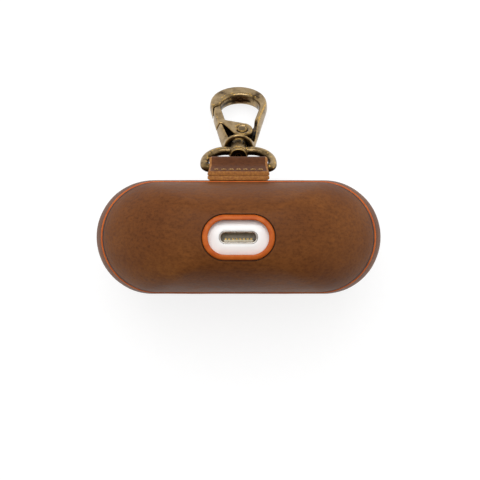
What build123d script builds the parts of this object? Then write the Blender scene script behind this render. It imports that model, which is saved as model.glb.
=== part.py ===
from build123d import *
import os
from math import cos, pi, radians, sin

os.makedirs("parts", exist_ok=True)

# A leather cover round a charging case for earbuds, standing on its lid with the charging port on top.
# X runs along its length, +Y is the hinge and hook side, Z is up. Millimetres.

# Outside of the closed cover
LENGTH = 64.8
WIDTH = 25.9
HEIGHT = 49.4
MID_Z = HEIGHT / 2
LONG_POWER = 2.3     # how square the oval is along its length
SHORT_POWER = 2.5    # and across its width
PORT_CUT = 0.995     # share of the oval's half height that is left at the port end
LID_CUT = 0.94       # and at the lid end, which is flat enough to stand on
SLICES = 16

# Walls, each given as a depth under the outside
LEATHER = 1.4
SHELL_OUT = 1.45
SHELL_IN = 2.0
CASE_OUT = 2.1
CASE_IN = 3.1
LINER_OUT = 3.15
LINER_IN = 4.0

# Where the cover is divided
SPLIT_Z = 16.5       # lid from base
SPLIT_GAP = 0.3
SEAM_Z = 34.4        # port cup from middle band
SEAM_GAP = 0.5
WELT_DEPTH = 0.3     # the welt in the seam stops this far under the leather's face
WELT_HIGH = 0.46

# Lid hinge
HINGE_Y = 11.05
HINGE_RADIUS = 1.0
HINGE_RELIEF = 1.2
PIN_RADIUS = 0.45
PIN_BORE = 0.5
BARREL_HALF = 11.0
LID_KNUCKLE_HALF = 4.0
KNUCKLE_GAP = 0.1
LEAF_THICK = 0.4
LEAF_LONG = 4.5
LID_LEAF_Y = 9.6      # the lid's wall curves in, so its leaf is cranked inwards
LID_LEAF_Z = (13.4, 16.1)
WEDGE_HALF = 40.0    # each side of the hinge's back gap, in degrees

# Charging port
TRIM_OUT = (16.0, 10.0)
TRIM_IN = (13.4, 7.6)
TRIM_FIT = 0.05
SURROUND_OUT = (8.5, 2.8)
SURROUND_IN = (7.7, 2.1)
SURROUND_FIT = 0.1
SURROUND_TOP = HEIGHT - CASE_OUT
SURROUND_FOOT = 42.5
CONTACTS = 8
CONTACT_PITCH = 0.8
CONTACT_SIZE = (0.4, 0.25)
SOCKET_FLOOR = 43.4
SHELF_DEEP = 0.5
SHELF_TOP = 46.6

# Earbud wells
WELL_X = 13.0
HEAD_RADIUS = 7.4
HEAD_FLOOR = 26.2
STEM_X = 14.4
STEM_RADIUS = 3.1
STEM_FLOOR = 39.5
WELL_WALL = 0.8
DOCK_Z = (17.2, 18.6)
PIN_SPREAD = 1.5     # each charging pin from the middle of its stem's place
PIN_SIZE = 0.35

# Small parts of the charging case
WEB_HALF = 0.6       # web between the lid's two pockets
MAGNET_HALF = 3.5
MAGNET_Y = (-9.0, -7.7)
MAGNET_TALL = 2.4
LIGHT_Z = 24.0
LIGHT_RADIUS = 0.8
LIGHT_MARGIN = 0.3   # the cover's hole is this much larger than the light
LIGHT_LONG = 2.2
BUTTON_Z = 29.0
BUTTON_RADIUS = 3.0
BUTTON_Y = (9.3, 10.7)
BUTTON_FIT = 0.08
SWITCH_HALF = 1.6
SWITCH_Y = (7.9, 8.9)
BOARD_SIZE = (21.0, 11.0, 0.8)
CELL_SIZE = (8.0, 12.4, 19.0)
CELL_Z = 30.2

# Leather tab and its loop
PLY = 1.0
LOOP_RADIUS = 2.6
TAB_HALF = 7.0
TAB_LOOP_HALF = 6.2
TAB_TOP = 34.0
TAB_TOP_Y = (12.75, 14.8)
TAB_MEET_Z = 32.6    # the plies lie together above this
BAR_Y = 15.75
BAR_Z = 27.0
STITCHES = 7
STITCH_Z = 32.2

# Swivel ring and hook, drawn flat: x across, y along the hook from the ring's bar, z through it
DROOP = 53.3         # degrees under level
RING_WIRE = 1.0
RING_HALF = 7.75
RING_TALL = 6.8
RING_FOOT_BEND = 1.3
RING_HEAD_BEND = 4.9
BOSS_RADIUS = 2.0
BOSS_SPAN = (5.55, 8.7)
POST_RADIUS = 1.1
POST_BORE = 1.17
POST_HEAD = 1.95
POST_HOLLOW = 0.6
POST_SPAN = (4.6, 10.1)
COLLAR_RADIUS = 3.55  # round foot of the hook, hollow over the ring's boss
COLLAR_SPAN = (8.1, 9.0)
COLLAR_ROUND = 0.42
COLLAR_BORE = 2.35
COLLAR_ROOF = 9.2
HOOK_REACH = 32.0
HOOK_THICK = 3.1
HOOK_FOOT = 8.6
HOOK_FOOT_HALF = 3.85
BOW_RADIUS = 6.85
SIDE_DRAFT = ((-1.0, (0.3, 0.3)), (-0.3, (0.0, 0.0)), (1.0, (0.2, 1.45)))
# above: height as a share of half the thickness, and how far the bow's and the foot's sides are set in there
WINDOW_TOP = (0.35, 23.8)
WINDOW_TOP_RADIUS = 4.4
WINDOW_FOOT = (0.3, 18.6)
WINDOW_FOOT_RADIUS = 3.3
WINDOW_DRAFT = ((-1.01, 0.2), (0.0, 0.0), (1.01, 0.3))
PLATE_FRONT = -0.4    # front face of the plate behind the gate's boss
PLATE_TOP = 16.2
POCKET = ((-2.2, 10.2), (3.6, 10.2), (4.5, 17.6), (-4.2, 17.6))

# Gate
PIVOT = (0.85, 13.9)
GATE_REACH = 11.2
GATE_FOOT = 16.4
GATE_THICK = 2.8
GATE_GAP = 0.15
LIP_X = -5.95
LIP_FOOT = 20.0
GATE_BOSS = 2.5
ELBOW = (-3.1, 16.9)
ELBOW_RADIUS = 0.8
RIVET_RADIUS = 0.6
RIVET_HEAD = (1.15, 0.4)
RIVET_DISH = (1.5, 0.4)  # the sunk ring that the rivet's head sits in
SPRING_POCKET = 1.3
SPRING_ROOF = 0.6
SPRING_RADIUS = 0.95
SPRING_WIRE = 0.13


def half_size(depth, z):
    """Half length and half width, at height z, of the surface that lies depth under the outside."""
    cut = PORT_CUT if z > MID_Z else LID_CUT
    rise = abs(z - MID_Z) / (MID_Z / cut - depth)
    half_long = (LENGTH / 2 - depth) * (1 - rise**LONG_POWER) ** (1 / LONG_POWER)
    half_short = (WIDTH / 2 - depth) * (1 - rise**SHORT_POWER) ** (1 / SHORT_POWER)
    return half_long, half_short


def pebble(depth):
    """The cover's rounded oval, as a solid, shrunk by depth all over. Slices crowd towards its ends."""
    slices = []
    for i in range(SLICES + 1):
        z = MID_Z - (MID_Z - depth) * cos(pi * i / SLICES)
        half_long, half_short = half_size(depth, z)
        slices.append(Pos(0, 0, z) * SlotOverall(2 * half_long, 2 * half_short))
    return loft(slices)


def block(low, high):
    """A box between two opposite corners."""
    size = [b - a for a, b in zip(low, high)]
    middle = [(a + b) / 2 for a, b in zip(low, high)]
    return Pos(*middle) * Box(*size)


def slab(low, high):
    """Everything between two heights."""
    return block((-LENGTH, -WIDTH, low), (LENGTH, WIDTH, high))


def rod(radius, low, high, x=0, y=0):
    """An upright cylinder between two heights."""
    return Pos(x, y, (low + high) / 2) * Cylinder(radius, high - low)


def rod_x(radius, left, right, y, z):
    """A cylinder along X."""
    return Pos((left + right) / 2, y, z) * Rot(0, 90, 0) * Cylinder(radius, right - left)


def rod_y(radius, near, far, x, z):
    """A cylinder along Y."""
    return Pos(x, (near + far) / 2, z) * Rot(90, 0, 0) * Cylinder(radius, far - near)


def slot(size, low, high, grow=0.0):
    """An upright bar with round ends, between two heights."""
    return Pos(0, 0, low) * extrude(SlotOverall(size[0] + grow, size[1] + grow), high - low)


OUTSIDE = pebble(0)
LEATHER_BACK = pebble(LEATHER)
SHELL_FACE = pebble(SHELL_OUT)
SHELL_BACK = pebble(SHELL_IN)
CASE_FACE = pebble(CASE_OUT)
CASE_BACK = pebble(CASE_IN)
LINER_FACE = pebble(LINER_OUT)
LINER_BACK = pebble(LINER_IN)
ABOVE = HEIGHT + 5
BELOW = -5
LID_TOP = SPLIT_Z - SPLIT_GAP / 2
BASE_FOOT = SPLIT_Z + SPLIT_GAP / 2


# ---- Cover ----

def hinge_room():
    """The gap behind the hinge that lets the lid swing: a wedge along the back, and a channel for the barrel."""
    span = 2 * WIDTH
    rise = span * sin(radians(WEDGE_HALF))
    run = span * cos(radians(WEDGE_HALF))
    wedge = Plane.YZ * Polygon((0, 0), (run, -rise), (run, rise), align=None)
    wedge = Pos(0, HINGE_Y, SPLIT_Z) * extrude(wedge, LENGTH, both=True)
    barrel_end = BARREL_HALF + KNUCKLE_GAP
    return wedge + rod_x(HINGE_RELIEF, -barrel_end, barrel_end, HINGE_Y, SPLIT_Z)


HINGE_ROOM = hinge_room()
PORT_HOLE = slot(TRIM_OUT, SEAM_Z, ABOVE, grow=TRIM_FIT)
LIGHT_HOLE = rod_y(LIGHT_RADIUS + LIGHT_MARGIN, -WIDTH, -CASE_OUT, 0, LIGHT_Z)


def port_cup():
    """Leather over the port end."""
    return (OUTSIDE - LEATHER_BACK) & slab(SEAM_Z + SEAM_GAP / 2, ABOVE)


def middle_band():
    """Leather round the middle, from the seam to the lid."""
    return ((OUTSIDE - LEATHER_BACK) & slab(BASE_FOOT, SEAM_Z - SEAM_GAP / 2)) - HINGE_ROOM - LIGHT_HOLE


def base_shell():
    """Hard liner of the base, with the welt that shows in the seam."""
    wall = (SHELL_FACE - SHELL_BACK) & slab(BASE_FOOT, ABOVE)
    welt_out = pebble(WELT_DEPTH)
    middle = (SHELL_OUT + SHELL_IN) / 2
    welt = (welt_out - pebble(middle)) & slab(SEAM_Z - WELT_HIGH / 2, SEAM_Z + WELT_HIGH / 2)
    return wall + welt - HINGE_ROOM - PORT_HOLE - LIGHT_HOLE


def lid_cover():
    """Leather over the lid."""
    return ((OUTSIDE - LEATHER_BACK) & slab(BELOW, LID_TOP)) - HINGE_ROOM


def lid_shell():
    """Hard liner of the lid."""
    return ((SHELL_FACE - SHELL_BACK) & slab(BELOW, LID_TOP)) - HINGE_ROOM


def port_trim():
    """Collar that edges the hole for the charging port."""
    collar = slot(TRIM_OUT, SEAM_Z, ABOVE) - slot(TRIM_IN, SEAM_Z, ABOVE)
    return collar & (OUTSIDE - pebble((SHELL_IN + CASE_OUT) / 2))


# ---- Charging case ----

LEAF_HALF = BARREL_HALF - 1.0
LEAF_Y = HINGE_Y - HINGE_RADIUS
BARREL_SLOT = rod_x(HINGE_RELIEF, -BARREL_HALF - KNUCKLE_GAP, BARREL_HALF + KNUCKLE_GAP, HINGE_Y, SPLIT_Z)
BASE_PLATE = block((-LEAF_HALF, LEAF_Y, SPLIT_Z + HINGE_RELIEF),
                   (LEAF_HALF, LEAF_Y + LEAF_THICK, SPLIT_Z + LEAF_LONG))
LID_PLATE = block((-LEAF_HALF, LID_LEAF_Y, LID_LEAF_Z[0]), (LEAF_HALF, LID_LEAF_Y + LEAF_THICK, LID_LEAF_Z[1]))


def case_body():
    """Moulded outer shell of the charging case."""
    wall = (CASE_FACE - CASE_BACK) & slab(BASE_FOOT, ABOVE)
    port = slot(SURROUND_OUT, SEAM_Z, ABOVE, grow=SURROUND_FIT)
    light = rod_y(LIGHT_RADIUS + 0.02, -WIDTH, 0, 0, LIGHT_Z)
    button = rod_y(BUTTON_RADIUS + BUTTON_FIT, 0, WIDTH, 0, BUTTON_Z)
    return wall - port - light - button - BARREL_SLOT - base_leaf()


def case_lid():
    """Moulded outer shell of the charging case's lid."""
    wall = (CASE_FACE - CASE_BACK) & slab(BELOW, LID_TOP)
    return wall - BARREL_SLOT - lid_leaf()


def magnet(low, grow=0.0):
    """Catch magnet at the front, beside the split, standing on a given height."""
    (near, far), high = MAGNET_Y, low + MAGNET_TALL
    return block((-MAGNET_HALF - grow, near - grow, low - grow), (MAGNET_HALF + grow, far + grow, high + grow))


LID_MAGNET_FOOT = LID_TOP - 0.2 - MAGNET_TALL
BASE_MAGNET_FOOT = DOCK_Z[1] + 0.4


def lid_liner():
    """Inner moulding of the lid: one pocket over each earbud, with a web between them."""
    wall = (LINER_FACE - LINER_BACK) & slab(BELOW, LID_TOP)
    web = block((-WEB_HALF, -WIDTH, 0), (WEB_HALF, WIDTH, LID_TOP)) & pebble((LINER_OUT + LINER_IN) / 2)
    return wall + web - magnet(LID_MAGNET_FOOT, grow=0.03)


def well(sign, grow=0.0, floor=0.0):
    """The room for one earbud: a round place for its head and a deep one for its stem."""
    head = rod(HEAD_RADIUS + grow, 0, HEAD_FLOOR + floor, x=sign * WELL_X)
    stem = rod(STEM_RADIUS + grow, 0, STEM_FLOOR + floor, x=sign * STEM_X)
    return head + stem


def pin_places():
    """Where the charging pins stand, two at the bottom of each stem's place."""
    return [(side * STEM_X, end * PIN_SPREAD) for side in (-1, 1) for end in (-1, 1)]


def earbud_dock():
    """Tray in the case's mouth that holds the two earbuds."""
    dock = LINER_FACE & slab(*DOCK_Z)
    for sign in (-1, 1):
        dock += well(sign, WELL_WALL, WELL_WALL) & slab(DOCK_Z[0], ABOVE)
    for sign in (-1, 1):
        dock -= well(sign)
    for x, y in pin_places():
        dock -= rod(PIN_SIZE + 0.02, STEM_FLOOR - 1, ABOVE, x, y)
    return dock


def charging_pins():
    """Sprung pins that touch the earbuds' stems."""
    return Compound([rod(PIN_SIZE, STEM_FLOOR - 0.9, STEM_FLOOR + 1.6, x, y) for x, y in pin_places()])


def base_leaf():
    """Steel hinge leaf moulded into the base, with the two outer knuckles."""
    knuckle_end = LID_KNUCKLE_HALF + KNUCKLE_GAP
    part = BASE_PLATE
    for sign in (-1, 1):
        left, right = sorted((sign * knuckle_end, sign * BARREL_HALF))
        near, far = sorted((sign * knuckle_end, sign * LEAF_HALF))
        part += rod_x(HINGE_RADIUS, left, right, HINGE_Y, SPLIT_Z)
        part += block((near, LEAF_Y, SPLIT_Z), (far, LEAF_Y + LEAF_THICK, SPLIT_Z + LEAF_LONG))
    return part - rod_x(PIN_BORE, -BARREL_HALF - 1, BARREL_HALF + 1, HINGE_Y, SPLIT_Z)


def lid_leaf():
    """Steel hinge leaf moulded into the lid, cranked out to the middle knuckle."""
    bend = LID_LEAF_Z[1] - LEAF_THICK
    part = LID_PLATE
    part += block((-LID_KNUCKLE_HALF, LID_LEAF_Y, bend), (LID_KNUCKLE_HALF, LEAF_Y + LEAF_THICK, LID_LEAF_Z[1]))
    part += block((-LID_KNUCKLE_HALF, LEAF_Y, bend), (LID_KNUCKLE_HALF, LEAF_Y + LEAF_THICK, SPLIT_Z))
    part += rod_x(HINGE_RADIUS, -LID_KNUCKLE_HALF, LID_KNUCKLE_HALF, HINGE_Y, SPLIT_Z)
    return part - rod_x(PIN_BORE, -BARREL_HALF, BARREL_HALF, HINGE_Y, SPLIT_Z)


def hinge_pin():
    return rod_x(PIN_RADIUS, -BARREL_HALF + 0.1, BARREL_HALF - 0.1, HINGE_Y, SPLIT_Z)


def port_surround():
    """Steel mouth of the charging socket."""
    return slot(SURROUND_OUT, SURROUND_FOOT, SURROUND_TOP) - slot(SURROUND_IN, SURROUND_FOOT, SURROUND_TOP)


def port_insulator():
    """Dark moulding in the socket: its floor, and the shelf along one side that carries the contacts."""
    floor = slot(SURROUND_IN, SURROUND_FOOT, SOCKET_FLOOR, grow=-0.04)
    edge = SURROUND_IN[1] / 2 - 0.02
    half = CONTACTS * CONTACT_PITCH / 2
    shelf = block((-half, -edge, SURROUND_FOOT), (half, -edge + SHELF_DEEP, SHELF_TOP))
    return floor + (shelf & slot(SURROUND_IN, SURROUND_FOOT, SHELF_TOP, grow=-0.04))


def port_contacts():
    """Row of gilt contacts along the shelf."""
    wide, deep = CONTACT_SIZE
    near = -SURROUND_IN[1] / 2 - 0.02 + SHELF_DEEP + 0.06
    row = []
    for i in range(CONTACTS):
        x = (i - (CONTACTS - 1) / 2) * CONTACT_PITCH
        row.append(block((x - wide / 2, near, SOCKET_FLOOR + 0.02), (x + wide / 2, near + deep, SHELF_TOP)))
    return Compound(row)


def circuit_board():
    """Board under the socket."""
    long, wide, thick = BOARD_SIZE
    return Pos(0, 0, SURROUND_FOOT - thick - 0.1) * extrude(RectangleRounded(long, wide, 1.5), thick)


def battery():
    """Flat cell between the two wells."""
    return Pos(0, 0, CELL_Z) * fillet(Box(*CELL_SIZE).edges().filter_by(Axis.Z), 1.5)


def status_light():
    """Clear rod that carries the charge light to the front."""
    face = half_size(CASE_OUT, LIGHT_Z)[1]
    return rod_y(LIGHT_RADIUS, -face + 0.02, -face + LIGHT_LONG, 0, LIGHT_Z)


def setup_button():
    """Pairing button in the back wall, pressed through the leather."""
    return rod_y(BUTTON_RADIUS, BUTTON_Y[0], BUTTON_Y[1], 0, BUTTON_Z)


def setup_switch():
    """Switch behind the pairing button."""
    near, far = SWITCH_Y
    return block((-SWITCH_HALF, near, BUTTON_Z - SWITCH_HALF), (SWITCH_HALF, far, BUTTON_Z + SWITCH_HALF))


# ---- Leather tab ----

def upright_face(edges, half_wide):
    """A solid from a hull drawn in Y and Z, spread along X."""
    return extrude(Plane.YZ * make_hull(edges), half_wide, both=True)


def tab():
    """Strap folded round the ring's bar, with its two cut ends together at the top."""
    loop = Pos(BAR_Y, BAR_Z) * Circle(LOOP_RADIUS)
    ends = Line((TAB_TOP_Y[0], TAB_TOP), (TAB_TOP_Y[1], TAB_TOP))
    strap = upright_face(loop.edges() + ends.edges(), TAB_HALF)
    eye = Pos(BAR_Y, BAR_Z) * Circle(LOOP_RADIUS - PLY)
    middle = sum(TAB_TOP_Y) / 2 + 0.15
    meet = Line((middle, TAB_MEET_Z), (middle + 0.05, TAB_MEET_Z))
    strap -= upright_face(eye.edges() + meet.edges(), TAB_HALF + 1)
    # narrower round the loop than at the cut ends
    foot = BAR_Z - LOOP_RADIUS - 1
    outline = Polygon((-TAB_LOOP_HALF, foot), (TAB_LOOP_HALF, foot), (TAB_LOOP_HALF, BAR_Z + LOOP_RADIUS),
                      (TAB_HALF, TAB_TOP + 1), (-TAB_HALF, TAB_TOP + 1), (-TAB_LOOP_HALF, BAR_Z + LOOP_RADIUS),
                      align=None)
    return strap & extrude(Plane.XZ * outline, 2 * WIDTH, both=True)


def tab_stitches():
    """Row of thread that closes the fold, just outside the outer ply."""
    row = []
    pitch = 2 * (TAB_HALF - 1.2) / STITCHES
    for i in range(STITCHES):
        x = (i - (STITCHES - 1) / 2) * pitch
        bead = Rot(0, 90, 0) * Cylinder(0.2, 0.62 * pitch)
        row.append(Pos(x, stitch_y(), STITCH_Z) * bead)
    return Compound(row)


def stitch_y():
    """How far out the outer ply's face is at the stitches: it leans from the cut end out to the loop."""
    share = (TAB_TOP - STITCH_Z) / (TAB_TOP - BAR_Z - LOOP_RADIUS / 2)
    return TAB_TOP_Y[1] + share * (BAR_Y + 0.9 * LOOP_RADIUS - TAB_TOP_Y[1]) + 0.2


# ---- Swivel ring and hook ----

LEAN = radians(DROOP)
HOOK_PLANE = Plane(origin=(0, BAR_Y, BAR_Z), x_dir=(1, 0, 0), z_dir=(0, sin(LEAN), cos(LEAN)))


def swivel_ring():
    """Oval ring with a straight bar for the tab and a drilled boss for the hook's post."""
    corners = [(-RING_HALF, 0), (RING_HALF, 0), (RING_HALF, RING_TALL), (-RING_HALF, RING_TALL)]
    bends = [RING_FOOT_BEND, RING_FOOT_BEND, RING_HEAD_BEND, RING_HEAD_BEND]
    path = FilletPolyline(*corners, radius=bends, close=True)
    ring = sweep(Plane(origin=path @ 0, z_dir=path % 0) * Circle(RING_WIRE), path)
    boss = rod_y(BOSS_RADIUS, BOSS_SPAN[0], BOSS_SPAN[1], 0, 0)
    bore = rod_y(POST_BORE, BOSS_SPAN[0] - 2, BOSS_SPAN[1] + 2, 0, 0)
    return ring + boss - bore


def swivel_post():
    """Hollow rivet that joins the hook to the ring and lets it turn."""
    shank = rod_y(POST_RADIUS, POST_SPAN[0], POST_SPAN[1], 0, 0)
    head = rod_y(POST_HEAD, POST_SPAN[0], BOSS_SPAN[0] - 0.07, 0, 0)
    return shank + head - rod_y(POST_HOLLOW, POST_SPAN[0] - 1, COLLAR_ROOF, 0, 0)


def hook_outline(inset):
    """The hook seen flat, a round bow that tapers to its foot, with the bow's and the foot's sides set in."""
    bow_inset, foot_inset = inset
    bow = Pos(0, HOOK_REACH - BOW_RADIUS) * Circle(BOW_RADIUS - bow_inset)
    half = HOOK_FOOT_HALF - foot_inset
    return make_hull(bow.edges() + Line((-half, HOOK_FOOT), (half, HOOK_FOOT)).edges())


def window_outline(grow):
    """The hook's window seen flat."""
    top = Pos(*WINDOW_TOP) * Circle(WINDOW_TOP_RADIUS + grow)
    bottom = Pos(*WINDOW_FOOT) * Circle(WINDOW_FOOT_RADIUS + grow)
    return make_hull(top.edges() + bottom.edges())


def drafted(outline, draft):
    """A solid whose flat outline changes through the hook's thickness, as a casting's does."""
    return loft([Pos(0, 0, share * HOOK_THICK / 2) * outline(amount) for share, amount in draft], ruled=True)


def hook_loop():
    """Bow and both legs, as if the gate were part of them."""
    return drafted(hook_outline, SIDE_DRAFT) - drafted(window_outline, WINDOW_DRAFT)


def gate_zone(grow, lip_grow):
    """The stretch of the left leg that is the gate: it ends in an arc about the pivot, inside the nose's lip."""
    disc = Pos(*PIVOT) * Circle(GATE_REACH + grow)
    foot = GATE_FOOT - grow
    zone = disc & Polygon((-20, foot), (0, foot), (0, 40), (-20, 40), align=None)
    zone -= Polygon((-20, LIP_FOOT - lip_grow), (LIP_X + lip_grow, LIP_FOOT - lip_grow),
                    (LIP_X + lip_grow, 40), (-20, 40), align=None)
    return extrude(zone, HOOK_THICK, both=True)


def collar():
    """Round foot of the hook, with softened edges."""
    foot, top = COLLAR_SPAN
    disc = rod_y(COLLAR_RADIUS, foot, top, 0, 0)
    return fillet(disc.edges().filter_by(GeomType.CIRCLE), COLLAR_ROUND)


def hook_body():
    """Cast hook: bow, right leg, nose, a pocketed foot for the gate's boss, and the collar over the ring."""
    body = hook_loop() - gate_zone(GATE_GAP, 0)
    behind = block((-20, HOOK_FOOT, -HOOK_THICK), (20, PLATE_TOP, PLATE_FRONT))
    body += drafted(hook_outline, SIDE_DRAFT) & behind
    body -= Pos(0, 0, PLATE_FRONT) * extrude(Polygon(*POCKET, align=None), HOOK_THICK)
    body += collar()
    body -= rod_y(COLLAR_BORE, 0, COLLAR_ROOF, 0, 0)
    body -= rod(RIVET_RADIUS + 0.02, -HOOK_THICK, HOOK_THICK, *PIVOT)
    return body - rod_y(POST_RADIUS + 0.02, COLLAR_ROOF - 1, POST_SPAN[1] + 0.1, 0, 0)


def gate():
    """Sprung gate: an arm in line with the left leg, and a boss on the rivet."""
    front = GATE_THICK / 2
    arm = (hook_loop() & gate_zone(0, 0.12)) & block((-20, 0, -front), (20, 40, front))
    boss = Pos(*PIVOT) * Circle(GATE_BOSS)
    elbow = Pos(*ELBOW) * Circle(ELBOW_RADIUS)
    back = PLATE_FRONT + 0.1
    neck = Pos(0, 0, back) * extrude(make_hull(boss.edges() + elbow.edges()), front - back)
    part = arm + neck - rod(RIVET_RADIUS + 0.05, -HOOK_THICK, HOOK_THICK, *PIVOT)
    dish, deep = RIVET_DISH
    return part - rod(SPRING_POCKET, -HOOK_THICK, SPRING_ROOF, *PIVOT) - rod(dish, front - deep, HOOK_THICK, *PIVOT)


def gate_rivet():
    """Rivet that the gate turns on, its head sunk in the gate's boss."""
    floor = GATE_THICK / 2 - RIVET_DISH[1] + 0.05
    radius, tall = RIVET_HEAD
    head = Cylinder(radius, tall)
    head = fillet(head.edges().sort_by(Axis.Z)[-1], 0.3)
    return rod(RIVET_RADIUS, -HOOK_THICK / 2, floor + 0.1, *PIVOT) + Pos(PIVOT[0], PIVOT[1], floor + tall / 2) * head


def gate_spring():
    """Coil round the rivet, in the back of the gate's boss."""
    path = Helix(pitch=0.32, height=0.6, radius=SPRING_RADIUS)
    coil = sweep(Plane(origin=path @ 0, z_dir=path % 0) * Circle(SPRING_WIRE), path)
    return Pos(PIVOT[0], PIVOT[1], PLATE_FRONT + 0.2) * coil


PARTS = {
    "port_cup_leather": port_cup() - PORT_HOLE,
    "middle_band_leather": middle_band(),
    "lid_cover_leather": lid_cover(),
    "base_shell": base_shell(),
    "lid_shell": lid_shell(),
    "port_trim": port_trim(),
    "tab_leather": tab(),
    "tab_stitches": tab_stitches(),
    "case_body": case_body(),
    "case_lid": case_lid(),
    "lid_liner": lid_liner(),
    "earbud_dock": earbud_dock(),
    "charging_pins": charging_pins(),
    "hinge_leaf_base": base_leaf(),
    "hinge_leaf_lid": lid_leaf(),
    "hinge_pin": hinge_pin(),
    "port_surround": port_surround(),
    "port_insulator": port_insulator(),
    "port_contacts": port_contacts(),
    "circuit_board": circuit_board(),
    "battery": battery(),
    "base_magnet": magnet(BASE_MAGNET_FOOT),
    "lid_magnet": magnet(LID_MAGNET_FOOT),
    "status_light": status_light(),
    "setup_button": setup_button(),
    "setup_switch": setup_switch(),
    "swivel_ring": HOOK_PLANE * swivel_ring(),
    "swivel_post": HOOK_PLANE * swivel_post(),
    "hook_body": HOOK_PLANE * hook_body(),
    "gate": HOOK_PLANE * gate(),
    "gate_rivet": HOOK_PLANE * gate_rivet(),
    "gate_spring": HOOK_PLANE * gate_spring(),
}

for name, shape in PARTS.items():
    export_step(shape, f"parts/{name}.step")
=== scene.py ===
import bmesh
import bpy
import math
import numpy as np
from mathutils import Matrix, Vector, noise
from mathutils.bvhtree import BVHTree


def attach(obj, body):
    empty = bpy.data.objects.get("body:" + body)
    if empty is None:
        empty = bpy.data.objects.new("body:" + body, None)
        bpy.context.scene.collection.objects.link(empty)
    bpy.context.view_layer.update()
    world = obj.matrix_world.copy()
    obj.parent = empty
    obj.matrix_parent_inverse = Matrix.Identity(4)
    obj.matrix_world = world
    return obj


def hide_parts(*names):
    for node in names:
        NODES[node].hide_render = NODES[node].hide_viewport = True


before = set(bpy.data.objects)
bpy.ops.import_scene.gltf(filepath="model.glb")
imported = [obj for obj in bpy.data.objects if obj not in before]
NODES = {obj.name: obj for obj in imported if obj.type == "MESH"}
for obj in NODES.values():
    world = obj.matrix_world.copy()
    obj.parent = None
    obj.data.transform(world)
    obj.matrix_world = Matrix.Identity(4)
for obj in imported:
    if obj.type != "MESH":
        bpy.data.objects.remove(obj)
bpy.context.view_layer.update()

MM = 0.001

# ---- The cover's shape, as the design has it, in millimetres ----
LENGTH, WIDTH, HEIGHT = 64.8, 25.9, 49.4
MID_Z = HEIGHT / 2
LONG_POWER, SHORT_POWER = 2.3, 2.5
PORT_CUT, LID_CUT = 0.995, 0.94
LEATHER = 1.4
SPLIT_Z, SPLIT_GAP = 16.5, 0.3
SEAM_Z, SEAM_GAP = 34.4, 0.5
HINGE_Y, WEDGE = 11.05, math.radians(40)
TRIM_OUT, TRIM_IN = (8.0, 5.0), (6.7, 3.8)
TRIM_FOOT_DEPTH = 2.05
CROWN_DROP, CROWN_ROUND = 0.12, 0.42   # the trim's top under the leather's, and its edges under its top
LIGHT_Z, LIGHT_HOLE = 24.0, 1.1
BEAD_DEPTH, BEAD_RADIUS, BEAD_Z = 0.10, 0.27, 34.48

# Columns round the outline: where each stands along the straight, and which way it faces
STRAIGHT_STEPS, ARC_STEPS = 26, 44


def outline_columns():
    """Each column's place on the straight, from -1 to 1, and the angle that it faces."""
    columns = []
    for end, start in ((1, -90), (-1, 90)):
        for i in range(ARC_STEPS):
            columns.append((end, math.radians(start + 180 * i / ARC_STEPS)))
        for i in range(STRAIGHT_STEPS):
            columns.append((end * (1 - 2 * i / STRAIGHT_STEPS), math.radians(start + 180)))
    along, facing = np.array(columns).T
    return along, np.cos(facing), np.sin(facing)


ALONG, FACE_X, FACE_Y = outline_columns()


def half_size(depth, z):
    """Half length and half width of the surface that lies depth under the outside, at each height."""
    z = np.asarray(z, float)
    cut = np.where(z > MID_Z, PORT_CUT, LID_CUT)
    rise = np.clip(np.abs(z - MID_Z) / (MID_Z / cut - depth), 0, 1)
    half_long = (LENGTH / 2 - depth) * (1 - rise**LONG_POWER) ** (1 / LONG_POWER)
    half_short = (WIDTH / 2 - depth) * (1 - rise**SHORT_POWER) ** (1 / SHORT_POWER)
    return half_long, half_short


def plan(half_long, half_short):
    """The outline's points in plan, one for each column."""
    x = ALONG * (half_long - half_short) + half_short * FACE_X
    return x, half_short * FACE_Y


def level(depth, z):
    """A ring of points on the surface at one height, or at one height for each column."""
    z = z * np.ones(len(ALONG))
    x, y = plan(*half_size(depth, z))
    return np.stack([x, y, z], 1)


def dome_height(x, y, depth):
    """Height of the port end's surface over a point in plan, found by halving."""
    low, high = np.full(len(x), MID_Z), np.full(len(x), HEIGHT - depth)
    for _ in range(40):
        z = (low + high) / 2
        half_long, half_short = half_size(depth, z)
        outside = np.hypot(np.maximum(np.abs(x) - (half_long - half_short), 0), y) > half_short
        low, high = np.where(outside, low, z), np.where(outside, z, high)
    return z


def dome_ring(half_long, half_short, depth, drop=0.0):
    """A ring of a given outline, laid on the port end's surface or a little under it."""
    x, y = plan(half_long, half_short)
    return np.stack([x, y, dome_height(x, y, depth) - drop], 1)


# ---- Mesh helpers ----

def make_piece(name, points, faces, materials, face_slots=None):
    """A smooth-shaded mesh object from points in millimetres."""
    mesh = bpy.data.meshes.new(name)
    mesh.from_pydata([tuple(float(c) * MM for c in p) for p in points], [], faces)
    for material in materials:
        mesh.materials.append(material)
    if face_slots is not None:
        mesh.polygons.foreach_set("material_index", face_slots)
    mesh.polygons.foreach_set("use_smooth", [True] * len(mesh.polygons))
    mesh.validate()
    work = bmesh.new()
    work.from_mesh(mesh)
    bmesh.ops.recalc_face_normals(work, faces=work.faces)
    work.to_mesh(mesh)
    work.free()
    return place_piece(name, mesh)


def place_piece(name, mesh):
    """An object for a mesh, added to the scene."""
    piece = bpy.data.objects.new(name, mesh)
    bpy.context.scene.collection.objects.link(piece)
    return piece


def settle(piece):
    """Turns a piece's modifiers into plain geometry."""
    mesh = bpy.data.meshes.new_from_object(piece.evaluated_get(bpy.context.evaluated_depsgraph_get()))
    piece.modifiers.clear()
    piece.data = mesh
    mesh.polygons.foreach_set("use_smooth", [True] * len(mesh.polygons))


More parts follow.
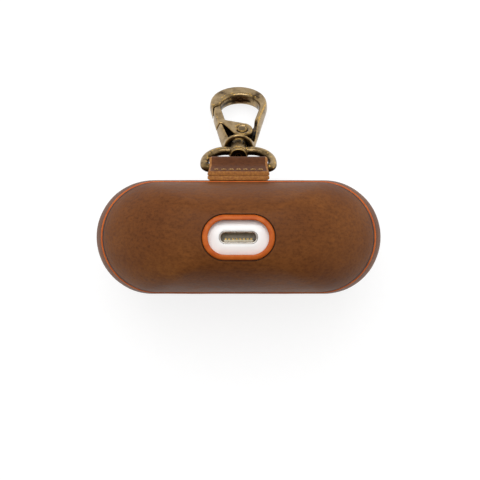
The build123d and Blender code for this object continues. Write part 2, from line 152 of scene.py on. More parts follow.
def lofted(name, rings, materials, slots, join=True, caps=False):
    """Closed rings joined one to the next.

    With join the last ring meets the first, and with caps both ends are filled.
    """
    count = len(rings[0])
    points = np.concatenate(rings)
    faces, face_slots = [], []
    steps = len(rings) if join else len(rings) - 1
    for r in range(steps):
        here, there = r * count, (r + 1) % len(rings) * count
        for c in range(count):
            d = (c + 1) % count
            faces.append((here + c, here + d, there + d, there + c))
            face_slots.append(slots[r])
    if caps:
        last = (len(rings) - 1) * count
        faces.append(tuple(reversed(range(count))))
        faces.append(tuple(range(last, last + count)))
        face_slots += [slots[0], slots[-1]]
    return make_piece(name, points, faces, materials, face_slots)


def uneven(points, amount, size):
    """Moves points slightly in or out from the cover's middle, as moulded hide is never quite even."""
    moved = []
    for p in points:
        out = Vector((p[0] * 0.4, p[1], (p[2] - MID_Z) * 0.6)).normalized()
        swell = noise.noise(Vector(p) / size) + 0.5 * noise.noise(Vector(p) / (size * 0.4))
        moved.append(np.array(p) + np.array(out) * amount * swell)
    return np.array(moved)


# ---- Materials ----

def linear(code):
    """A colour written in hex, as Blender's linear values."""
    parts = [int(code[i:i + 2], 16) / 255 for i in (1, 3, 5)]
    return tuple(c / 12.92 if c <= 0.04045 else ((c + 0.055) / 1.055) ** 2.4 for c in parts) + (1.0,)


def across(mm):
    """Texture scale that makes a pattern's features this many millimetres across."""
    return 1 / (mm * MM)


def add(tree, kind, sockets=None, stops=(), **settings):
    """Adds a node with its settings. A socket takes a value, or the output that feeds it.

    stops are the places and hex colours of a colour ramp.
    """
    node = tree.nodes.new("ShaderNode" + kind)
    for name, value in settings.items():
        setattr(node, name, value)
    if stops:
        elements = node.color_ramp.elements
        while len(elements) < len(stops):
            elements.new(1.0)
        for element, (place, code) in zip(elements, stops):
            element.position = place
            element.color = linear(code)
    for name, value in (sockets or {}).items():
        if isinstance(value, bpy.types.NodeSocket):
            tree.links.new(value, node.inputs[name])
        else:
            node.inputs[name].default_value = value
    return node


def new_material(name):
    """An empty node material, its tree, and its object coordinates."""
    material = bpy.data.materials.new(name)
    material.use_nodes = True
    tree = material.node_tree
    tree.nodes.clear()
    return material, tree, add(tree, "TexCoord").outputs["Object"]


def finish_material(tree, sockets):
    """Adds the surface shader and the output."""
    surface = add(tree, "BsdfPrincipled", sockets)
    add(tree, "OutputMaterial", {"Surface": surface.outputs["BSDF"]})


def pull_up_leather(name, dark, middle, pale):
    """Oiled pull-up cowhide: cloudy brown with a soft waxy sheen, drawn flecks and fine pebbled grain."""
    material, tree, at = new_material(name)
    clouds = add(tree, "TexNoise", {"Vector": at, "Scale": across(16), "Detail": 4.0, "Roughness": 0.5})
    tone = add(tree, "ValToRGB", {"Fac": clouds.outputs["Fac"]},
               stops=[(0.32, dark), (0.52, middle), (0.70, pale)])
    # the hide's fibres run along the case, so its flecks are longer that way
    drawn = add(tree, "Mapping", {"Vector": at, "Scale": (0.4, 1.0, 1.0)})
    mottle = add(tree, "TexNoise", {"Vector": drawn.outputs["Vector"], "Scale": across(0.7), "Detail": 5.0,
                                    "Roughness": 0.7})
    flecks = add(tree, "ValToRGB", {"Fac": mottle.outputs["Fac"]},
                 stops=[(0.32, "#c8bcae"), (0.50, "#ece4da"), (0.66, "#fff5e2")])
    flecked = add(tree, "MixRGB", {"Fac": 0.85, "Color1": tone.outputs["Color"],
                                   "Color2": flecks.outputs["Color"]}, blend_type="MULTIPLY")
    # the real grain is about 0.3 mm across; it is drawn at 0.55 mm so that it can be seen
    grain = add(tree, "TexVoronoi", {"Vector": at, "Scale": across(0.55)}, feature="SMOOTH_F1")
    pores = add(tree, "ValToRGB", {"Fac": grain.outputs["Distance"]},
                stops=[(0.0, "#c9c3bd"), (0.45, "#ffffff"), (1.0, "#ffffff")])
    colour = add(tree, "MixRGB", {"Fac": 0.6, "Color1": flecked.outputs["Color"],
                                  "Color2": pores.outputs["Color"]}, blend_type="MULTIPLY")
    grain_bump = add(tree, "Bump", {"Height": grain.outputs["Distance"], "Strength": 0.30,
                                    "Distance": 0.08 * MM})
    hide = add(tree, "TexNoise", {"Vector": at, "Scale": across(4.5), "Detail": 4.0})
    hide_bump = add(tree, "Bump", {"Height": hide.outputs["Fac"], "Strength": 0.35, "Distance": 0.35 * MM,
                                   "Normal": grain_bump.outputs["Normal"]})
    gloss = add(tree, "MapRange", {"Value": mottle.outputs["Fac"], "From Min": 0.3, "From Max": 0.7,
                                   "To Min": 0.42, "To Max": 0.58})
    finish_material(tree, {"Base Color": colour.outputs["Color"], "Roughness": gloss.outputs["Result"],
                           "IOR": 1.45, "Specular IOR Level": 0.13, "Normal": hide_bump.outputs["Normal"]})
    return material


def cut_leather_edge():
    """Cut edge of vegetable-tanned hide: matt tan fibres, paler than the grain side."""
    material, tree, at = new_material("cut_leather_edge")
    fibre = add(tree, "TexNoise", {"Vector": at, "Scale": across(0.5), "Detail": 6.0, "Roughness": 0.7})
    colour = add(tree, "ValToRGB", {"Fac": fibre.outputs["Fac"]},
                 stops=[(0.3, "#6f3f12"), (0.5, "#955c20"), (0.7, "#b37c34")])
    bump = add(tree, "Bump", {"Height": fibre.outputs["Fac"], "Strength": 0.4, "Distance": 0.15 * MM})
    finish_material(tree, {"Base Color": colour.outputs["Color"], "Roughness": 0.75,
                           "Normal": bump.outputs["Normal"]})
    return material


def burnished_edge_and_gap_shade():
    """Leather edge rubbed dark with wax, and darker still as painted shade of the gap beside it: the thin
    dark line beside the seam and round the port.
    """
    material, tree, at = new_material("burnished_edge_painted_gap_shade")
    rub = add(tree, "TexNoise", {"Vector": at, "Scale": across(1.5), "Detail": 4.0})
    colour = add(tree, "ValToRGB", {"Fac": rub.outputs["Fac"]}, stops=[(0.3, "#2b180c"), (0.7, "#472a16")])
    finish_material(tree, {"Base Color": colour.outputs["Color"], "Roughness": 0.5,
                           "Specular IOR Level": 0.1})
    return material


def orange_edge_paint():
    """Satin orange edge paint: even colour, faintly thicker and thinner along its length."""
    material, tree, at = new_material("satin_orange_edge_paint")
    flow = add(tree, "TexNoise", {"Vector": at, "Scale": across(1.6), "Detail": 3.0})
    colour = add(tree, "ValToRGB", {"Fac": flow.outputs["Fac"]}, stops=[(0.3, "#ac4b10"), (0.7, "#c0601c")])
    bump = add(tree, "Bump", {"Height": flow.outputs["Fac"], "Strength": 0.15, "Distance": 0.1 * MM})
    finish_material(tree, {"Base Color": colour.outputs["Color"], "Roughness": 0.5,
                           "Specular IOR Level": 0.25, "Normal": bump.outputs["Normal"]})
    return material


def moulded_plastic(name, low, high, roughness, coat):
    """Injection-moulded plastic: an even colour with the faintest waviness of the tool."""
    material, tree, at = new_material(name)
    wave = add(tree, "TexNoise", {"Vector": at, "Scale": across(6), "Detail": 2.0})
    colour = add(tree, "ValToRGB", {"Fac": wave.outputs["Fac"]}, stops=[(0.3, low), (0.7, high)])
    bump = add(tree, "Bump", {"Height": wave.outputs["Fac"], "Strength": 0.03, "Distance": 0.1 * MM})
    finish_material(tree, {"Base Color": colour.outputs["Color"], "Roughness": roughness,
                           "Coat Weight": coat, "Coat Roughness": 0.08, "Normal": bump.outputs["Normal"]})
    return material


def antique_brass():
    """Cast brass, browned and rubbed back: dark patina with painted shade in the recesses and on faces that
    look at other faces, and pale gold along the worn edges.
    """
    material, tree, at = new_material("antique_brass")
    # patina in the recesses, with painted shade: occlusion reaching 7 mm darkens the colour of inner walls
    shade = add(tree, "AmbientOcclusion", {"Distance": 7.0 * MM}, samples=8)
    point = add(tree, "NewGeometry").outputs["Pointiness"]
    worn = add(tree, "MapRange", {"Value": point, "From Min": 0.505, "From Max": 0.56})
    hollow = add(tree, "MapRange", {"Value": point, "From Min": 0.495, "From Max": 0.44})
    # painted shade mask: high where a face looks at another part of the same piece
    inner = add(tree, "Attribute", attribute_name="facing_shade")
    blotch = add(tree, "TexNoise", {"Vector": at, "Scale": across(2.5), "Detail": 5.0, "Roughness": 0.65})
    patina_and_shade = add(tree, "Math", {0: shade.outputs["AO"], 1: blotch.outputs["Fac"]}, operation="MULTIPLY")
    body = add(tree, "ValToRGB", {"Fac": patina_and_shade.outputs["Value"]},
               stops=[(0.18, "#1a120a"), (0.31, "#4a3a25"), (0.42, "#8c7655"), (0.60, "#a58e6a")])
    # patina in the creases, laid over the patina and painted shade of the body colour
    stained = add(tree, "MixRGB", {"Fac": hollow.outputs["Result"], "Color1": body.outputs["Color"],
                                   "Color2": linear("#1a120a")})
    # painted shade: that mask darkens the colour towards near-black brown
    browned = add(tree, "MixRGB", {"Fac": inner.outputs["Fac"], "Color1": stained.outputs["Color"],
                                   "Color2": linear("#21180d")})
    colour = add(tree, "MixRGB", {"Fac": worn.outputs["Result"], "Color1": browned.outputs["Color"],
                                  "Color2": linear("#c9a25c")})
    scuff = add(tree, "TexNoise", {"Vector": at, "Scale": across(0.5), "Detail": 6.0})
    bump = add(tree, "Bump", {"Height": scuff.outputs["Fac"], "Strength": 0.15, "Distance": 0.05 * MM})
    gloss = add(tree, "MapRange", {"Value": patina_and_shade.outputs["Value"], "From Min": 0.1, "From Max": 0.6,
                                   "To Min": 0.5, "To Max": 0.24})
    finish_material(tree, {"Base Color": colour.outputs["Color"], "Metallic": 1.0,
                           "Roughness": gloss.outputs["Result"], "Normal": bump.outputs["Normal"]})
    return material


def bare_metal(name, low, high, roughness):
    """Plated or drawn metal with fine streaks along its length."""
    material, tree, at = new_material(name)
    stretched = add(tree, "Mapping", {"Vector": at, "Scale": (1.0, 12.0, 12.0)})
    streak = add(tree, "TexNoise", {"Vector": stretched.outputs["Vector"], "Scale": across(2.0),
                                    "Detail": 4.0})
    colour = add(tree, "ValToRGB", {"Fac": streak.outputs["Fac"]}, stops=[(0.3, low), (0.7, high)])
    gloss = add(tree, "MapRange", {"Value": streak.outputs["Fac"], "To Min": roughness * 0.8,
                                   "To Max": roughness * 1.2})
    finish_material(tree, {"Base Color": colour.outputs["Color"], "Metallic": 1.0,
                           "Roughness": gloss.outputs["Result"]})
    return material


def waxed_thread():
    """Waxed linen thread: matt pale tan, with the twist of its strands."""
    material, tree, at = new_material("waxed_linen_thread")
    twist = add(tree, "TexWave", {"Vector": at, "Scale": across(0.8), "Distortion": 2.0},
                bands_direction="DIAGONAL")
    colour = add(tree, "ValToRGB", {"Fac": twist.outputs["Fac"]}, stops=[(0.2, "#7a5228"), (0.8, "#b08850")])
    finish_material(tree, {"Base Color": colour.outputs["Color"], "Roughness": 0.7})
    return material


def light_table():
    """Matt white acrylic sheet, lit from below: a pale floor with only a faint shadow."""
    material, tree, at = new_material("light_table_acrylic")
    tooth = add(tree, "TexNoise", {"Vector": at, "Scale": across(1.5), "Detail": 3.0})
    colour = add(tree, "ValToRGB", {"Fac": tooth.outputs["Fac"]}, stops=[(0.3, "#8c8c8c"), (0.7, "#909090")])
    finish_material(tree, {"Base Color": colour.outputs["Color"], "Roughness": 0.9,
                           "Specular IOR Level": 0.1, "Emission Color": linear("#ffffff"),
                           "Emission Strength": 0.80})
    return material


# soft brown with a low sheen, and the strap's darker hide, stained where it is handled
LEATHER_SKIN = pull_up_leather("brown_pull_up_leather", "#683c1c", "#724420", "#7e4e26")
TAB_SKIN = pull_up_leather("dark_pull_up_leather", "#54301a", "#5f381f", "#6b4226")
CUT_EDGE = cut_leather_edge()
# burnished edges, with painted shade of the gaps beside the seam and round the port
DARK_EDGE = burnished_edge_and_gap_shade()
ORANGE = orange_edge_paint()
# bright white with a clear wet highlight, and a plainer white inside the lid
WHITE_GLOSS = moulded_plastic("white_gloss_polycarbonate", "#f3f3f1", "#f8f8f6", 0.22, 0.5)
WHITE_SATIN = moulded_plastic("white_satin_polycarbonate", "#ececea", "#f2f2f0", 0.4, 0.0)
# near-black and dull, the switch; warm stone grey, the socket's tongue
BLACK_PLASTIC = moulded_plastic("black_nylon", "#141414", "#1c1c1c", 0.5, 0.0)
GREY_MOULDING = moulded_plastic("grey_glass_filled_nylon", "#aea48f", "#bdb39d", 0.35, 0.2)
# deep green with a little shine over the board; pale and glassy, the light rod
BOARD_GREEN = moulded_plastic("solder_mask", "#123d22", "#174a2a", 0.4, 0.2)
CLEAR_ROD = moulded_plastic("clear_acrylic", "#dfe3e3", "#e9ecec", 0.1, 1.0)
BRASS = antique_brass()
# cool grey hinge parts, brighter warm socket mouth, yellow contacts, and the cell's dull wrapper
STEEL = bare_metal("drawn_steel", "#a8a6a2", "#c9c7c2", 0.25)
SOCKET_STEEL = bare_metal("socket_steel", "#b5b0a6", "#dcd8d0", 0.28)
GILT = bare_metal("gold_plate", "#c79a45", "#e0bb66", 0.25)
FOIL = bare_metal("cell_foil", "#9a9a9c", "#b4b4b6", 0.4)
THREAD = waxed_thread()


# ---- Leather pieces ----

LIP = 0.32           # radius of the leather's rounded edges
HOLE_LIP = 0.2       # and of the edge round the port
HOLE_FIT = 0.03      # gap between the leather and the port's collar
LIP_STEPS = 4
HIDE_SWELL = 0.05    # how far the moulded hide is from even
HIDE_WAVE = 7.0      # and over what distance
FACE_RINGS = 34      # rings up a leather face
SHOULDER_Z, INNER_SHOULDER_Z = 46.6, 44.0   # where the port end stops being built by height


def rounded_edge(toward):
    """Depth and height offsets round one edge of the leather, from its face to its back.

    toward is +1 for a top edge, and -1 for a bottom one.
    """
    turn = []
    for i in range(LIP_STEPS + 1):
        angle = math.pi / 2 * i / LIP_STEPS
        turn.append((LIP * (1 - math.cos(angle)), toward * LIP * (math.sin(angle) - 1)))
    return turn


def wedge_shift(depth, side):
    """How far the hinge's gap pushes an edge away from the lid's split, for each column.

    side is +1 for the base, and -1 for the lid.
    """
    y = level(depth, SPLIT_Z)[:, 1]
    return side * np.maximum(0, y - HINGE_Y) * math.tan(WEDGE)


def split_edge(depth, side):
    """Height of the leather's edge at the split, for each column."""
    return SPLIT_Z + side * SPLIT_GAP / 2 + wedge_shift(depth, side)


def middle_band():
    """Leather band from the lid's split up to the seam, with its edges rounded and its back left plain."""
    top = SEAM_Z - SEAM_GAP / 2
    rings, slots = [], []
    for depth, offset in rounded_edge(-1)[::-1]:
        rings.append(level(depth, split_edge(depth, 1) + offset))
        slots.append(1)
    face_low, face_high = split_edge(0, 1) + LIP, top - LIP
    for i in range(1, FACE_RINGS):
        height = face_low + (face_high - face_low) * i / FACE_RINGS
        rings.append(uneven(level(0, height), HIDE_SWELL, HIDE_WAVE))
        slots.append(0)
    for depth, offset in rounded_edge(1):
        rings.append(level(depth, top + offset))
        slots.append(1)
    rings.append(level(LEATHER, top))
    slots.append(1)
    back_low = split_edge(LEATHER, 1)
    back_rings, hole_sides = 8, 48
    for i in range(1, back_rings + 1):
        rings.append(level(LEATHER, top + (back_low - top) * i / back_rings))
        slots.append(1)
    band = lofted("middle_band", rings, [LEATHER_SKIN, DARK_EDGE], slots)
    circle = [(LIGHT_HOLE * math.cos(a), LIGHT_Z + LIGHT_HOLE * math.sin(a))
              for a in (2 * math.pi * i / hole_sides for i in range(hole_sides))]
    ends = [np.array([(x, y, z) for x, z in circle]) for y in (-WIDTH, -WIDTH / 2 + 2 * LEATHER)]
    punch = lofted("punch", ends, [DARK_EDGE], [0, 0], join=False, caps=True)
    hole = band.modifiers.new("light_hole", "BOOLEAN")
    hole.object = punch
    settle(band)
    bpy.data.objects.remove(punch)
    return band


def port_cup():
    """Leather over the port end, open where the trim sits."""
    foot = SEAM_Z + SEAM_GAP / 2
    hole = (TRIM_OUT[0] + HOLE_FIT, TRIM_OUT[1] + HOLE_FIT)
    rings, slots = [], []
    for depth, offset in rounded_edge(-1)[::-1]:
        rings.append(level(depth, foot + offset))
        slots.append(1)
    side_rings, crown_rings, back_rings = 26, 20, 6
    for i in range(1, side_rings + 1):
        height = foot + LIP + (SHOULDER_Z - foot - LIP) * math.sin(math.pi / 2 * i / side_rings)
        rings.append(uneven(level(0, height), HIDE_SWELL, HIDE_WAVE))
        slots.append(0)
    start = [float(v) for v in half_size(0, SHOULDER_Z)]
    for i in range(1, crown_rings):
        share = i / crown_rings
        outline = [a + (b + HOLE_LIP - a) * share for a, b in zip(start, hole)]
        rings.append(uneven(dome_ring(*outline, 0), HIDE_SWELL * (1 - share), HIDE_WAVE))
        slots.append(0)
    for i in range(LIP_STEPS + 1):
        angle = math.pi / 2 * i / LIP_STEPS
        reach = HOLE_LIP * (1 - math.sin(angle))
        rings.append(dome_ring(hole[0] + reach, hole[1] + reach, 0, HOLE_LIP * (1 - math.cos(angle))))
        slots.append(1)
    inner = [float(v) for v in half_size(LEATHER, INNER_SHOULDER_Z)]
    for i in range(2 * back_rings + 1):
        share = i / (2 * back_rings)
        outline = [a + (b - a) * share for a, b in zip(hole, inner)]
        rings.append(dome_ring(*outline, LEATHER))
        slots.append(1)
    for i in range(1, back_rings + 1):
        rings.append(level(LEATHER, INNER_SHOULDER_Z + (foot - INNER_SHOULDER_Z) * i / back_rings))
        slots.append(1)
    return lofted("port_cup", rings, [LEATHER_SKIN, DARK_EDGE], slots)


def lid_cover():
    """Leather over the lid, down to the flat end that it stands on."""
    rings, slots = [], []
    flat_long, flat_short = [float(v) for v in half_size(0, 0.0)]
    for share in (0.04, 0.3, 0.6, 0.85):
        x, y = plan(flat_long * share, flat_short * share)
        rings.append(np.stack([x, y, np.zeros(len(x))], 1))
        slots.append(0)
    top = split_edge(0, -1) - LIP
    for i in range(FACE_RINGS):
        share = 1 - math.cos(math.pi / 2 * i / FACE_RINGS)
        rings.append(level(0, top * share))
        slots.append(0)
    for depth, offset in rounded_edge(1):
        rings.append(level(depth, split_edge(depth, -1) + offset))
        slots.append(1)
    back_top = split_edge(LEATHER, -1)
    back_rings = 12
    for i in range(back_rings + 1):
        share = math.cos(math.pi / 2 * i / back_rings)
        rings.append(level(LEATHER, LEATHER + (back_top - LEATHER) * share))
        slots.append(1)
    back_long, back_short = [float(v) for v in half_size(LEATHER, LEATHER)]
    for share in (0.6, 0.3, 0.04):
        x, y = plan(back_long * share, back_short * share)
        rings.append(np.stack([x, y, np.full(len(x), LEATHER)], 1))
        slots.append(1)
    return lofted("lid_cover", rings, [LEATHER_SKIN, DARK_EDGE], slots, join=False, caps=True)


def seam_bead():
    """Orange bead of the welt, that stands in the seam under the port cup's edge."""
    rings = []
    steps = 12
    for i in range(steps):
        angle = 2 * math.pi * i / steps
        depth = BEAD_DEPTH + BEAD_RADIUS * math.cos(angle)
        rings.append(level(depth, BEAD_Z + BEAD_RADIUS * math.sin(angle)))
    return lofted("seam_bead", rings, [ORANGE], [0] * len(rings))


def port_trim():
    """Collar round the port's hole, with a rounded top that follows the dome."""
    (out_long, out_short), (in_long, in_short) = TRIM_OUT, TRIM_IN
    rings = [dome_ring(out_long, out_short, TRIM_FOOT_DEPTH)]
    crown_steps = 12
    for i in range(crown_steps + 1):
        angle = math.pi * i / crown_steps
        share = (1 - math.cos(angle)) / 2
        outline = (out_long + (in_long - out_long) * share, out_short + (in_short - out_short) * share)
        rings.append(dome_ring(*outline, 0, CROWN_DROP + CROWN_ROUND * (1 - math.sin(angle) ** 0.7)))
    rings.append(dome_ring(in_long, in_short, TRIM_FOOT_DEPTH))
    return lofted("port_collar", rings, [ORANGE], [0] * len(rings))


def socket_mouth():
    """Drawn steel mouth of the charging socket, funnelled to guide the plug."""
    # half length, half width and height, up the outside, over the rim and down the inside
    profile = ((4.25, 1.40, 42.5), (4.25, 1.40, 47.15), (4.20, 1.35, 47.28), (4.12, 1.27, 47.30),
               (3.85, 1.00, 46.98), (3.76, 0.93, 46.80), (3.75, 0.92, 46.5), (3.75, 0.92, 42.5))
    rings = []
    for half_long, half_short, z in profile:
        x, y = plan(half_long, half_short)
        rings.append(np.stack([x, y, np.full(len(x), z)], 1))
    return lofted("socket_mouth", rings, [SOCKET_STEEL], [0] * len(rings))


# ---- Tab ----

PLY = 1.0
LOOP_RADIUS = 2.6
BAR_Y, BAR_Z = 15.75, 27.0   # middle of the ring's bar, inside the loop
TAB_TOP = 34.0
TAB_TOP_Y = (12.75, 14.8)
TAB_LOOP_HALF, TAB_TOP_HALF = 6.6, 6.95
STITCH_Z = 32.2
STRAP_STEPS = 3              # between each two points of the strap's line


def tab_midline():
    """The strap's middle line in Y and Z.

    It runs down against the case, round the ring's bar, and back up to the cut end.
    """
    half = PLY / 2
    radius = LOOP_RADIUS - half
    points = [(TAB_TOP_Y[0] + half, TAB_TOP - 1.4 * i) for i in range(4)]
    points = [(y + 0.09 * i, z) for i, (y, z) in enumerate(points)]
    for degrees in range(176, 404, 12):
        angle = math.radians(degrees)
        points.append((BAR_Y + radius * math.cos(angle), BAR_Z + radius * math.sin(angle)))
    end_y = TAB_TOP_Y[1] - half
    points += [(end_y + 1.62, 29.6), (end_y + 0.82, 31.2), (end_y + 0.22, 32.7), (end_y, TAB_TOP)]
    return points


def smooth_line(points, steps):
    """Points of a smooth curve through the given ones, evenly many between each pair."""
    pts = [np.array(p, float) for p in points]
    pts = [2 * pts[0] - pts[1]] + pts + [2 * pts[-1] - pts[-2]]
    curve = []
    for a, b, c, d in zip(pts, pts[1:], pts[2:], pts[3:]):
        for i in range(steps):
            t = i / steps
            curve.append(0.5 * (2 * b + (c - a) * t + (2 * a - 5 * b + 4 * c - d) * t**2
                                + (3 * b - a - 3 * c + d) * t**3))
    curve.append(pts[-2])
    return curve


def strap_half_width(z):
    """Half the strap's width: it is cut narrower where it passes through the ring."""
    share = min(max((z - BAR_Z - LOOP_RADIUS) / (TAB_TOP - BAR_Z - LOOP_RADIUS), 0), 1)
    return TAB_LOOP_HALF + (TAB_TOP_HALF - TAB_LOOP_HALF) * share


def tab():
    """Folded strap: grain side out, with slightly rounded cut edges that show the paler hide."""
    line = smooth_line(tab_midline(), STRAP_STEPS)
    across_steps = 12
    bevel_wide, bevel_deep, back_round = 0.5, 0.34, 0.12
    rings = []
    for i, (y, z) in enumerate(line):
        before, after = line[max(i - 1, 0)], line[min(i + 1, len(line) - 1)]
        run = (after - before) / np.linalg.norm(after - before)
        out = np.array([-run[1], run[0]]) * -1
        half_wide = strap_half_width(z)
        ring = []
        for side, wide, deep in ((1, bevel_wide, bevel_deep), (-1, back_round, back_round)):
            for k in range(across_steps + 1):
                x = side * (half_wide - wide) * (1 - 2 * k / across_steps)
                wave = 0.05 * noise.noise(Vector((x, y, z)) / 2.5)
                ring.append((x, side * (PLY / 2 + wave * (side > 0))))
            far_deep = back_round if side > 0 else bevel_deep
            ring.append((-side * half_wide, side * (PLY / 2 - deep)))
            ring.append((-side * half_wide, -side * (PLY / 2 - far_deep)))
        rings.append(np.array([(x, y + out[0] * lift, z + out[1] * lift) for x, lift in ring]))
    count = len(rings[0])
    points = np.concatenate(rings)
    faces, face_slots = [], []
    for r in range(len(rings) - 1):
        for c in range(count):
            d = (c + 1) % count
            faces.append((r * count + c, (r + 1) * count + c, (r + 1) * count + d, r * count + d))
            face_slots.append(0 if c < across_steps else 1)
    faces.append(tuple(range(count)))
    faces.append(tuple(reversed(range((len(rings) - 1) * count, len(rings) * count))))
    face_slots += [1, 1]
    piece = make_piece("leather_tab", points, faces, [TAB_SKIN, CUT_EDGE], face_slots)
    bevel = piece.modifiers.new("edges", "BEVEL")
    bevel.width = 0.08 * MM
    bevel.segments = 2
    bevel.limit_method = "ANGLE"
    return piece


def stitches():
    """Row of thread across the tab, each stitch dipping into its holes at both ends."""
    count, margin, thread, rise = 7, 1.2, 0.17, 0.16
    pitch = 2 * (TAB_TOP_HALF - margin) / count
    line = smooth_line(tab_midline(), STRAP_STEPS)
    half = len(line) // 2
    y, z = min(line[half:], key=lambda p: abs(p[1] - STITCH_Z))
    points, faces = [], []
    sides, steps = 8, 8
    for s in range(count):
        middle = (s - (count - 1) / 2) * pitch
        first = len(points)
        for i in range(steps + 1):
            t = i / steps * 2 - 1
            lift = rise * (1 - t**4)
            for k in range(sides):
                angle = 2 * math.pi * k / sides
                points.append((middle + t * 0.34 * pitch,
                               y + PLY / 2 + lift - 0.06 + thread * math.cos(angle),
                               z + 0.1 + thread * math.sin(angle)))
        for i in range(steps):
            for k in range(sides):
                m = (k + 1) % sides
                a, b = first + i * sides, first + (i + 1) * sides
                faces.append((a + k, a + m, b + m, b + k))
        faces.append(tuple(reversed(range(first, first + sides))))
        faces.append(tuple(range(first + steps * sides, first + (steps + 1) * sides)))
    return make_piece("tab_thread", points, faces, [THREAD])


# ---- Carried-over hard parts ----

VOXEL = 0.12         # mesh size of the softened hard parts
FACING_REACH = 20.0  # how near the opposite wall must be for a surface to stay dark
DARKEST = 0.9

# The brass parts: the body that each rides on, how many rounds soften it, and the least painted shade it has
# all over
BRASS_PARTS = (
    ("swivel_ring", "ring", 6, 0.0),
    ("swivel_post", "hook", 4, 0.0),
    ("hook_body", "hook", 160, 0.0),
    ("gate", "gate_lever", 60, 0.0),
    ("gate_rivet", "hook", 4, 0.6),
)


def paint_facing_shade(piece, least):
    """Paints shade into each point's colour, from least to DARKEST: dark where it faces another part of the
    piece.
    """
    mesh = piece.data
    tree = BVHTree.FromObject(piece, bpy.context.evaluated_depsgraph_get())
    marks = np.empty(len(mesh.vertices))
    for i, vertex in enumerate(mesh.vertices):
        start = vertex.co + vertex.normal * 0.05 * MM
        found = tree.ray_cast(start, vertex.normal, FACING_REACH * MM)[0]
        marks[i] = 0 if found is None else 1
    ends = np.array([edge.vertices[:] for edge in mesh.edges])
    joined = np.bincount(ends.ravel(), minlength=len(marks))
    for _ in range(4):
        total = np.bincount(ends[:, 0], marks[ends[:, 1]], len(marks))
        total += np.bincount(ends[:, 1], marks[ends[:, 0]], len(marks))
        marks = (marks + total / joined) / 2
    layer = mesh.attributes.new("facing_shade", "FLOAT", "POINT")
    layer.data.foreach_set("value", least + (DARKEST - least) * marks)


def finished(node, rounds, least):
    """A copy of a brass part with its edges softened, as casting and tumbling leave them."""
    piece = place_piece(node + "_finished", NODES[node].data.copy())
    even = piece.modifiers.new("even", "REMESH")
    even.mode = "VOXEL"
    even.voxel_size = VOXEL * MM
    soften = piece.modifiers.new("soften", "SMOOTH")
    soften.factor = 0.5
    soften.iterations = rounds
    settle(piece)
    piece.data.materials.clear()
    piece.data.materials.append(BRASS)
    # paints shade where the part faces itself
    paint_facing_shade(piece, least)
    return piece


# What each carried-over part is made of
FINISHES = {
    "base_shell": ORANGE, "lid_shell": ORANGE,
    "case_body": WHITE_GLOSS, "case_lid": WHITE_GLOSS, "setup_button": WHITE_GLOSS,
    "lid_liner": WHITE_SATIN, "earbud_dock": WHITE_SATIN,
    "charging_pins": GILT, "port_contacts": GILT,
    "hinge_leaf_base": STEEL, "hinge_leaf_lid": STEEL, "hinge_pin": STEEL, "gate_spring": STEEL,
    "base_magnet": STEEL, "lid_magnet": STEEL,
    "port_insulator": GREY_MOULDING, "setup_switch": BLACK_PLASTIC,
    "circuit_board": BOARD_GREEN, "battery": FOIL, "status_light": CLEAR_ROD,
}


def dress(node, material):
    """Gives a carried-over CAD part its finish."""
    mesh = NODES[node].data
    mesh.materials.clear()
    mesh.materials.append(material)


# ---- Studio ----

CAMERA_FAR = 500.0   # from the case's middle
TILT = math.radians(0.3)
FRAME_WIDE = 109.8   # what the view spans at the case's middle
AIM = (0.34, -0.69, MID_Z)


def camera():
    """Camera straight over the port, leaning slightly towards the hook."""
    data = bpy.data.cameras.new("camera")
    data.sensor_width = 36.0
    data.lens = data.sensor_width * CAMERA_FAR / FRAME_WIDE
    data.clip_start = 0.01
    view = bpy.data.objects.new("camera", data)
    place = Vector(AIM) + CAMERA_FAR * Vector((0, math.sin(TILT), math.cos(TILT)))
    view.location = place * MM
    view.rotation_euler = (-TILT, 0, 0)
    bpy.context.scene.collection.objects.link(view)
    bpy.context.scene.camera = view


def soft_box(name, place, size, power):
    """A square soft light that faces the case. Its place and size are in metres."""
    data = bpy.data.lights.new(name, "AREA")
    data.shape = "SQUARE"
    data.size = size
    data.energy = power
    light = bpy.data.objects.new(name, data)
    light.location = place
    light.rotation_euler = (Vector((0, 0, 0.025)) - Vector(place)).to_track_quat("-Z", "Y").to_euler()
    bpy.context.scene.collection.objects.link(light)


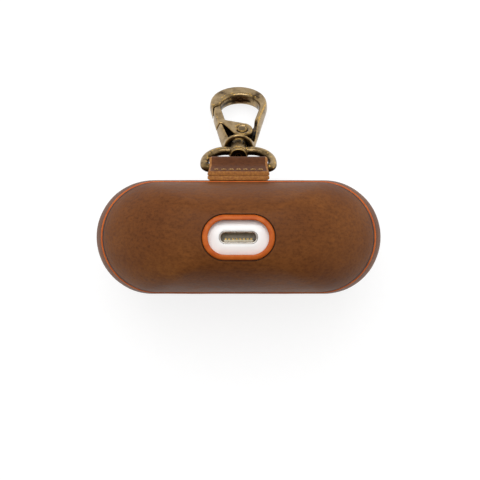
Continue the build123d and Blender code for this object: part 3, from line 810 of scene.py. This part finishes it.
def surround():
    """Studio walls and ceiling: dim overhead, a bright wall at each end, and lighter on the hinge side."""
    world = bpy.data.worlds.new("surround")
    world.use_nodes = True
    tree = world.node_tree
    tree.nodes.clear()
    toward = add(tree, "SeparateXYZ", {"Vector": add(tree, "TexCoord").outputs["Generated"]})
    ends = add(tree, "Math", {0: toward.outputs["X"], 1: toward.outputs["X"]}, operation="MULTIPLY")
    hinge_side = add(tree, "MapRange", {"Value": toward.outputs["Y"], "From Min": -1.0, "From Max": 1.0,
                                        "To Min": 0.04, "To Max": 0.50})
    bright = add(tree, "Math", {0: ends.outputs["Value"], 1: 0.9, 2: hinge_side.outputs["Result"]},
                 operation="MULTIPLY_ADD")
    glow = add(tree, "Background", {"Color": (1, 1, 1, 1), "Strength": bright.outputs["Value"]})
    add(tree, "OutputWorld", {"Surface": glow.outputs["Background"]})
    bpy.context.scene.world = world


def studio():
    """Light-table floor, one large soft light, and the studio round them."""
    half, steps, drop = 1500, 8, 0.05
    grid = [(-half + 2 * half * i / steps, -half + 2 * half * j / steps, -drop)
            for j in range(steps + 1) for i in range(steps + 1)]
    faces = []
    for j in range(steps):
        for i in range(steps):
            a = j * (steps + 1) + i
            faces.append((a, a + 1, a + steps + 2, a + steps + 1))
    make_piece("floor", grid, faces, [light_table()])
    soft_box("key", (-0.04, 0.46, 0.94), 0.85, 8.0)
    surround()
    bpy.context.scene.view_settings.view_transform = "Standard"


def build():
    """Makes every piece, gives it its body and hides the design parts that it stands for. Each piece's slot
    is listed, but not given to it.
    """
    pieces = (
        (port_cup(), "base", "brown_leather", ("port_cup_leather",)),
        (middle_band(), "base", "brown_leather", ("middle_band_leather",)),
        (lid_cover(), "lid", "brown_leather", ("lid_cover_leather",)),
        (port_trim(), "base", "orange_edge", ("port_trim",)),
        (socket_mouth(), "base", "socket_steel", ("port_surround",)),
        (tab(), "base", "brown_leather", ("tab_leather",)),
        (stitches(), "base", "thread", ("tab_stitches",)),
    )
    for piece, body, slot, nodes in pieces:
        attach(piece, body)
        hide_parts(*nodes)
    bead = seam_bead()
    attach(bead, "base")
    for node, body, rounds, least in BRASS_PARTS:
        piece = finished(node, rounds, least)
        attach(piece, body)
        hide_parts(node)
    for node, material in FINISHES.items():
        dress(node, material)


build()
camera()
studio()
